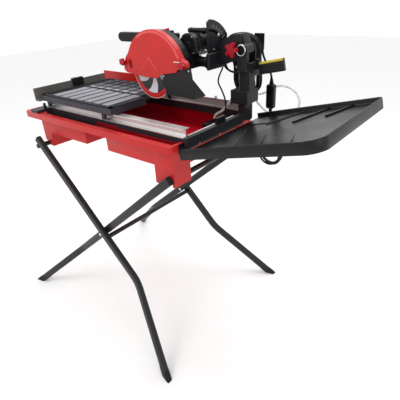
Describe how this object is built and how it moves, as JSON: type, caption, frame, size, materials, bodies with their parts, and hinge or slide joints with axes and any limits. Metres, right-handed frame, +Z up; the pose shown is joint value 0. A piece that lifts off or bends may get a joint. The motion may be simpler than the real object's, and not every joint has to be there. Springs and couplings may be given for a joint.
{
  "type": "tile cutter",
  "caption": "Wet tile saw on a folding stand: a water tub, a sliding cart, a tilting and plunging blade head and a side tray.",
  "frame": {"origin": "on the floor under the middle of the whole saw's bounding box", "axes": "+X along the rails towards the side tray, +Y to the back of the saw, where the motor points, +Z up"},
  "size_m": [1.6436, 0.942, 1.4141],
  "materials": {
    "red_plastic": "glossy moulded red plastic",
    "red_paint": "gloss red paint",
    "black_plastic": "satin black plastic",
    "motor_black": "satin black paint on a motor",
    "leg_paint": "satin dark grey paint",
    "cart_paint": "satin dark grey paint",
    "mat_rubber": "matt light grey rubber",
    "aluminium": "brushed extruded aluminium",
    "steel": "bright steel",
    "blade_core": "red printed blade",
    "cord_rubber": "black cord jacket",
    "hose_clear": "clear flexible tube"
  },
  "bodies": {
    "stand": {"outer_leg_front": "leg_paint", "outer_leg_rear": "leg_paint", "outer_top_crossbar": "leg_paint", "outer_foot_front": "black_plastic", "outer_foot_rear": "black_plastic", "outer_cap_front": "black_plastic", "outer_cap_rear": "black_plastic", "pivot_bolt_front": "steel", "pivot_bolt_rear": "steel"},
    "inner_stand": {"inner_leg_front": "leg_paint", "inner_leg_rear": "leg_paint", "inner_top_crossbar": "leg_paint", "inner_pivot_crossbar": "leg_paint", "inner_foot_front": "black_plastic", "inner_foot_rear": "black_plastic"},
    "saw": {"tub": "red_plastic", "splash_wall": "red_plastic", "chassis": "leg_paint", "near_rail": "aluminium", "far_rail": "aluminium", "cart_stop": "black_plastic", "post": "motor_black", "cord_hook": "black_plastic", "pump": "black_plastic", "pump_hose": "hose_clear", "pump_lead": "cord_rubber", "power_cord": "cord_rubber", "cord_hank": "cord_rubber", "leakage_breaker": "black_plastic", "breaker_cord": "cord_rubber", "plug_cord": "cord_rubber", "cord_coil": "cord_rubber", "plug": "black_plastic"},
    "drain": {"drain_plug": "black_plastic"},
    "side_tray": {"extension_tray": "black_plastic"},
    "rule": {"rip_rule": "aluminium"},
    "cart": {"cart_frame": "cart_paint", "cart_mat": "mat_rubber", "fence": "aluminium"},
    "left_rollers": {"roller_near_left": "steel", "roller_far_left": "steel"},
    "right_rollers": {"roller_near_right": "steel", "roller_far_right": "steel"},
    "stop": {"fence_stop": "black_plastic"},
    "stop_knob": {"fence_knob": "black_plastic"},
    "latch": {"cart_latch": "black_plastic"},
    "arm": {"arm": "motor_black", "quadrant": "motor_black"},
    "arm_knob": {"plunge_knob": "red_paint"},
    "head": {"guard": "red_paint", "drive_housing": "black_plastic", "motor": "motor_black", "splash_deflector": "black_plastic", "handle": "black_plastic"},
    "rocker": {"switch_rocker": "red_paint"},
    "front_knob": {"guard_knob_front": "red_paint"},
    "rear_knob": {"guard_knob_rear": "red_paint"},
    "tilt_knob": {"bevel_knob": "black_plastic"},
    "spindle": {"blade": "blade_core", "arbor": "steel"}
  },
  "joints": [
    {"name": "saw_lift", "type": "slide", "parent": "stand", "child": "saw", "axis": [0, 0, 1], "range_m": [0, 1.32]},
    {"name": "stand_fold", "type": "hinge", "parent": "stand", "child": "inner_stand", "pos_m": [-0.2053, 0, 0.502], "axis": [0, -1, 0], "range_deg": [0, 94.5]},
    {"name": "drain_pull", "type": "slide", "parent": "saw", "child": "drain", "axis": [0, 1, 0], "range_m": [0, 0.03]},
    {"name": "tray_pull", "type": "slide", "parent": "saw", "child": "side_tray", "axis": [0.9686, 0, 0.2487], "range_m": [0, 0.25]},
    {"name": "rule_slide", "type": "slide", "parent": "saw", "child": "rule", "axis": [0.9781, 0, 0.2079], "range_m": [0, 0.06]},
    {"name": "cart_slide", "type": "slide", "parent": "saw", "child": "cart", "axis": [1, 0, 0], "range_m": [0, 0.32]},
    {"name": "left_roller_spin", "type": "hinge", "parent": "cart", "child": "left_rollers", "pos_m": [-0.5983, 0, 1.0561], "axis": [0, 1, 0], "range_deg": [-10, 1700]},
    {"name": "right_roller_spin", "type": "hinge", "parent": "cart", "child": "right_rollers", "pos_m": [-0.1703, 0, 1.0561], "axis": [0, 1, 0], "range_deg": [-10, 1700]},
    {"name": "stop_slide", "type": "slide", "parent": "cart", "child": "stop", "axis": [0, 1, 0], "range_m": [-0.15, 0.14]},
    {"name": "stop_knob_turn", "type": "hinge", "parent": "stop", "child": "stop_knob", "pos_m": [-0.6733, 0.015, 1.13], "axis": [1, 0, 0], "range_deg": [-360, 0]},
    {"name": "latch_swing", "type": "hinge", "parent": "cart", "child": "latch", "pos_m": [-0.6108, -0.2275, 1.0645], "axis": [0, 1, 0], "range_deg": [0, 90]},
    {"name": "plunge", "type": "hinge", "parent": "saw", "child": "arm", "pos_m": [0.2997, 0.175, 1.301], "axis": [0, 1, 0], "range_deg": [0, 22]},
    {"name": "arm_knob_turn", "type": "hinge", "parent": "arm", "child": "arm_knob", "pos_m": [0.2617, 0.14, 1.302], "axis": [0, 1, 0], "range_deg": [-360, 0]},
    {"name": "bevel", "type": "hinge", "parent": "arm", "child": "head", "pos_m": [0.1717, 0.1, 1.257], "axis": [1, 0, 0], "range_deg": [0, 45]},
    {"name": "rocker_switch", "type": "hinge", "parent": "head", "child": "rocker", "pos_m": [-0.0043, 0.048, 1.3805], "axis": [0, 1, 0], "range_deg": [0, 12]},
    {"name": "front_knob_turn", "type": "hinge", "parent": "head", "child": "front_knob", "pos_m": [-0.1943, -0.044, 1.259], "axis": [0, 1, 0], "range_deg": [-360, 0]},
    {"name": "rear_knob_turn", "type": "hinge", "parent": "head", "child": "rear_knob", "pos_m": [0.1527, -0.044, 1.264], "axis": [0, 1, 0], "range_deg": [-360, 0]},
    {"name": "tilt_knob_turn", "type": "hinge", "parent": "head", "child": "tilt_knob", "pos_m": [0.1817, 0.18824, 1.33534], "axis": [1, 0, 0], "range_deg": [-360, 0]},
    {"name": "blade_spin", "type": "hinge", "parent": "head", "child": "spindle", "pos_m": [-0.0583, 0, 1.2215], "axis": [0, 1, 0], "continuous": true}
  ],
  "couplings": [
    {"joint": "stand_fold", "follows": "saw_lift", "rad_per_m": 1.245},
    {"joint": "left_roller_spin", "follows": "cart_slide", "rad_per_m": 86.957},
    {"joint": "right_roller_spin", "follows": "cart_slide", "rad_per_m": 86.957}
  ]
}
